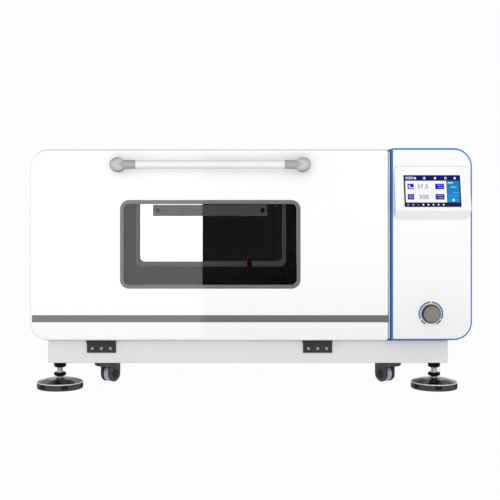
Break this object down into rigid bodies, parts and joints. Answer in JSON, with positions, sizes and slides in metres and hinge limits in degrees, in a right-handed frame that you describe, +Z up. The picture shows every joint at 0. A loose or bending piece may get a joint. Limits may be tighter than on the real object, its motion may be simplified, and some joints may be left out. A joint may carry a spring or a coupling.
{
  "type": "carbon dioxide shaking incubator",
  "caption": "Wide incubator cabinet with a drop-down windowed door, a control column with screen and knob, an orbital shaker tray, levelling feet and casters.",
  "frame": {"origin": "middle of the object's box in plan, on the plane that the four levelling feet stand on", "axes": "+X to the right seen from the front, +Y to the back, +Z up; the door and its handle face -Y"},
  "size_m": [1.329, 0.855, 0.738],
  "materials": {
    "white_enamel": "satin",
    "white_plastic": "satin",
    "grey_enamel": "satin",
    "blue_enamel": "satin",
    "dark_enamel": "satin",
    "handle_grey": "satin",
    "black_plastic": "matte",
    "electronics_case": "satin",
    "brushed_steel": "satin",
    "mirror_steel": "polished",
    "knob_metal": "satin",
    "zinc": "satin",
    "cast_aluminium": "satin",
    "rubber": "matte",
    "wheel_grey": "satin",
    "glass": "gloss",
    "screen": "gloss",
    "foam": "matte",
    "red_plastic": "satin",
    "brass": "satin"
  },
  "bodies": {
    "cabinet": {"base_frame": "grey_enamel", "drive_frame": "cast_aluminium", "cabinet_shell": "blue_enamel", "chamber_liner": "brushed_steel", "insulation": "foam", "rear_cover": "grey_enamel", "power_inlet": "black_plastic", "gas_inlet": "brass", "control_unit": "electronics_case", "duct_cover": "black_plastic", "duct_panel": "mirror_steel", "air_baffle": "brushed_steel", "temperature_probe": "red_plastic", "fan_motor": "dark_enamel", "column_trim": "blue_enamel", "column_cover": "white_enamel", "screen_housing": "white_plastic", "touch_screen": "screen", "selector_bezel": "black_plastic", "motor_body": "dark_enamel", "drive_belt": "rubber", "hinge_plate_left": "dark_enamel", "hinge_plate_right": "dark_enamel"},
    "door": {"door_panel": "white_enamel", "door_liner": "white_enamel", "door_gasket": "rubber", "window_bezel": "grey_enamel", "outer_glass": "glass", "inner_glass": "glass", "handle_bar": "white_enamel", "handle_mount_left": "handle_grey", "handle_mount_right": "handle_grey", "hinge_leaf_left": "zinc", "hinge_leaf_right": "zinc"},
    "spindle": {"selector_spindle": "zinc"},
    "knob": {"selector_knob": "knob_metal"},
    "fan": {"fan_impeller": "zinc"},
    "driven_crank": {"crank_driven": "zinc", "driven_pulley": "cast_aluminium"},
    "rear_crank": {"crank_rear": "zinc"},
    "front_crank": {"crank_front": "zinc"},
    "platform": {"platform_frame": "cast_aluminium", "shaker_tray": "brushed_steel"},
    "motor_rotor": {"motor_pulley": "cast_aluminium"},
    "foot_front_left": {"foot_pad_front_left": "rubber", "foot_stem_front_left": "zinc"},
    "foot_front_right": {"foot_pad_front_right": "rubber", "foot_stem_front_right": "zinc"},
    "foot_rear_left": {"foot_pad_rear_left": "rubber", "foot_stem_rear_left": "zinc"},
    "foot_rear_right": {"foot_pad_rear_right": "rubber", "foot_stem_rear_right": "zinc"},
    "caster_front_left": {"caster_fork_front_left": "dark_enamel"},
    "wheel_front_left": {"caster_wheel_front_left": "wheel_grey"},
    "caster_front_right": {"caster_fork_front_right": "dark_enamel"},
    "wheel_front_right": {"caster_wheel_front_right": "wheel_grey"},
    "caster_rear_left": {"caster_fork_rear_left": "dark_enamel"},
    "wheel_rear_left": {"caster_wheel_rear_left": "wheel_grey"},
    "caster_rear_right": {"caster_fork_rear_right": "dark_enamel"},
    "wheel_rear_right": {"caster_wheel_rear_right": "wheel_grey"}
  },
  "joints": [
    {"name": "door_hinge", "type": "hinge", "parent": "cabinet", "child": "door", "pos_m": [0, -0.3425, 0.164], "axis": [1, 0, 0], "range_deg": [0, 90]},
    {"name": "selector_turn", "type": "hinge", "parent": "cabinet", "child": "spindle", "pos_m": [0.5408, -0.3725, 0.2407], "axis": [0, -1, 0], "continuous": true},
    {"name": "selector_push", "type": "slide", "parent": "spindle", "child": "knob", "axis": [0, 1, 0], "range_m": [0, 0.0025], "stiffness_N_per_m": 1500},
    {"name": "fan_spin", "type": "hinge", "parent": "cabinet", "child": "fan", "pos_m": [-0.125, 0.3355, 0.5], "axis": [0, 1, 0], "continuous": true},
    {"name": "drive_turn", "type": "hinge", "parent": "cabinet", "child": "driven_crank", "pos_m": [0.075, 0.1475, 0.21], "axis": [0, 0, 1], "continuous": true},
    {"name": "rear_crank_turn", "type": "hinge", "parent": "cabinet", "child": "rear_crank", "pos_m": [-0.325, 0.1475, 0.21], "axis": [0, 0, 1], "continuous": true},
    {"name": "front_crank_turn", "type": "hinge", "parent": "cabinet", "child": "front_crank", "pos_m": [-0.125, -0.1325, 0.21], "axis": [0, 0, 1], "continuous": true},
    {"name": "platform_orbit", "type": "hinge", "parent": "driven_crank", "child": "platform", "pos_m": [0.0875, 0.1475, 0.23], "axis": [0, 0, 1], "continuous": true},
    {"name": "motor_turn", "type": "hinge", "parent": "cabinet", "child": "motor_rotor", "pos_m": [0.5, 0.1475, 0.12], "axis": [0, 0, 1], "continuous": true},
    {"name": "foot_height_front_left", "type": "slide", "parent": "cabinet", "child": "foot_front_left", "axis": [0, 0, -1], "range_m": [-0.012, 0.015]},
    {"name": "foot_height_front_right", "type": "slide", "parent": "cabinet", "child": "foot_front_right", "axis": [0, 0, -1], "range_m": [-0.012, 0.015]},
    {"name": "foot_height_rear_left", "type": "slide", "parent": "cabinet", "child": "foot_rear_left", "axis": [0, 0, -1], "range_m": [-0.012, 0.015]},
    {"name": "foot_height_rear_right", "type": "slide", "parent": "cabinet", "child": "foot_rear_right", "axis": [0, 0, -1], "range_m": [-0.012, 0.015]},
    {"name": "caster_swivel_front_left", "type": "hinge", "parent": "cabinet", "child": "caster_front_left", "pos_m": [-0.444, -0.2625, 0.08], "axis": [0, 0, 1], "continuous": true},
    {"name": "wheel_roll_front_left", "type": "hinge", "parent": "caster_front_left", "child": "wheel_front_left", "pos_m": [-0.43446, -0.24724, 0.0427], "axis": [-0.848, 0.5299, 0], "continuous": true},
    {"name": "caster_swivel_front_right", "type": "hinge", "parent": "cabinet", "child": "caster_front_right", "pos_m": [0.432, -0.2625, 0.08], "axis": [0, 0, 1], "continuous": true},
    {"name": "wheel_roll_front_right", "type": "hinge", "parent": "caster_front_right", "child": "wheel_front_right", "pos_m": [0.42246, -0.24724, 0.0427], "axis": [-0.848, -0.5299, 0], "continuous": true},
    {"name": "caster_swivel_rear_left", "type": "hinge", "parent": "cabinet", "child": "caster_rear_left", "pos_m": [-0.444, 0.3175, 0.08], "axis": [0, 0, 1], "continuous": true},
    {"name": "wheel_roll_rear_left", "type": "hinge", "parent": "caster_rear_left", "child": "wheel_rear_left", "pos_m": [-0.43446, 0.33276, 0.0427], "axis": [-0.848, 0.5299, 0], "continuous": true},
    {"name": "caster_swivel_rear_right", "type": "hinge", "parent": "cabinet", "child": "caster_rear_right", "pos_m": [0.432, 0.3175, 0.08], "axis": [0, 0, 1], "continuous": true},
    {"name": "wheel_roll_rear_right", "type": "hinge", "parent": "caster_rear_right", "child": "wheel_rear_right", "pos_m": [0.42246, 0.33276, 0.0427], "axis": [-0.848, -0.5299, 0], "continuous": true}
  ],
  "couplings": [
    {"joint": "rear_crank_turn", "follows": "drive_turn", "ratio": 1},
    {"joint": "front_crank_turn", "follows": "drive_turn", "ratio": 1},
    {"joint": "platform_orbit", "follows": "drive_turn", "ratio": -1},
    {"joint": "motor_turn", "follows": "drive_turn", "ratio": 3}
  ]
}
